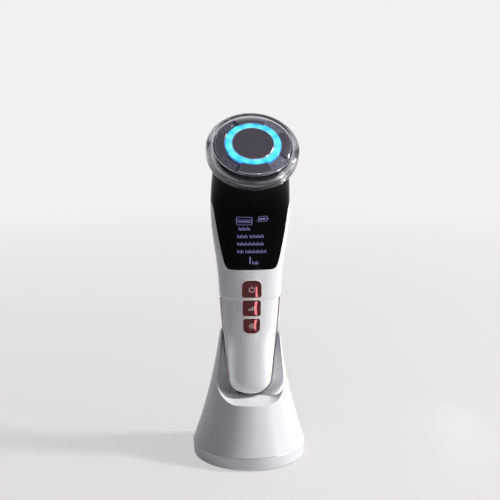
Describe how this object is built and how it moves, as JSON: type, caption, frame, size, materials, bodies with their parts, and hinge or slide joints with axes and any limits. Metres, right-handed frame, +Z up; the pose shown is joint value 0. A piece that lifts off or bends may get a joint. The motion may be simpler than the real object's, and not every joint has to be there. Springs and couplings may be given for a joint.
{
  "type": "facial cleansing device",
  "caption": "Facial cleansing handset with an angled round electrode head, a glowing ring, a display and press keys, upright in the niche of a flared charging stand.",
  "frame": {"origin": "centre of the stand's underside, on the table", "axes": "+Z up along the stand's axis, -Y towards the front where the keys and the electrode face are, +X to the viewer's right, looking along +Y"},
  "size_m": [0.0658, 0.0658, 0.1998],
  "materials": {
    "white_shell": "satin",
    "gloss_black": "high gloss",
    "black_plastic": "matte",
    "chrome_band": "polished",
    "clear_head": "polished clear plastic",
    "diffuser": "milky",
    "led_light": "light emitting",
    "satin_steel": "satin",
    "rose_gold": "mirror-like metallised",
    "rubber": "matte",
    "foam": "open-celled foam",
    "board_green": "solder mask",
    "screw_steel": "plated",
    "gold_contact": "gold plated",
    "tin_plate": "plain",
    "wire_insulation": "smooth",
    "ribbon_film": "smooth film",
    "display_glass": "glass"
  },
  "bodies": {
    "stand": {"stand_shell": "white_shell", "stand_base": "white_shell", "rubber_pad": "rubber", "pin_block": "black_plastic", "stand_board": "board_green", "usb_socket": "tin_plate", "stand_leads": "wire_insulation", "base_screws": "screw_steel"},
    "pins": {"charge_pins": "gold_contact"},
    "handset": {"front_shell": "white_shell", "rear_shell": "white_shell", "side_band": "chrome_band", "neck_cover": "gloss_black", "neck_collar": "gloss_black", "head_seal": "rubber", "head_shell": "clear_head", "head_base": "black_plastic", "head_board": "board_green", "head_leds": "led_light", "glow_ring": "diffuser", "middle_plate": "satin_steel", "arc_plate_right": "satin_steel", "arc_plate_top": "satin_steel", "arc_plate_left": "satin_steel", "arc_plate_bottom": "satin_steel", "rim_dots": "satin_steel", "head_screws": "screw_steel", "head_ribbon": "ribbon_film", "motor_bracket": "black_plastic", "vibration_motor": "tin_plate", "display_module": "display_glass", "display_frame": "white_shell", "main_board": "board_green", "board_screws": "screw_steel", "upper_switch": "black_plastic", "middle_switch": "black_plastic", "lower_switch": "black_plastic", "battery_cell": "tin_plate", "cell_pad": "foam", "battery_leads": "wire_insulation", "charge_contacts": "gold_contact"},
    "key_upper": {"upper_key": "rose_gold"},
    "key_middle": {"middle_key": "rose_gold"},
    "key_lower": {"lower_key": "rose_gold"},
    "rotor": {"motor_shaft": "screw_steel", "motor_weight": "screw_steel"}
  },
  "joints": [
    {"name": "handset_lift", "type": "slide", "parent": "stand", "child": "handset", "axis": [0, 0.0698, 0.9976], "range_m": [0, 0.06]},
    {"name": "key_upper_press", "type": "slide", "parent": "handset", "child": "key_upper", "axis": [0, 0.9976, -0.0698], "range_m": [0, 0.0005], "stiffness_N_per_m": 1500, "springref_m": -0.0002},
    {"name": "key_middle_press", "type": "slide", "parent": "handset", "child": "key_middle", "axis": [0, 0.9976, -0.0698], "range_m": [0, 0.0005], "stiffness_N_per_m": 1500, "springref_m": -0.0002},
    {"name": "key_lower_press", "type": "slide", "parent": "handset", "child": "key_lower", "axis": [0, 0.9976, -0.0698], "range_m": [0, 0.0005], "stiffness_N_per_m": 1500, "springref_m": -0.0002},
    {"name": "weight_spin", "type": "hinge", "parent": "handset", "child": "rotor", "pos_m": [0, -0.00178, 0.17179], "axis": [1, 0, 0], "continuous": true},
    {"name": "pins_press", "type": "slide", "parent": "stand", "child": "pins", "axis": [0, 0.0698, 0.9976], "range_m": [-0.0008, 0], "stiffness_N_per_m": 600, "springref_m": 0.0005}
  ]
}
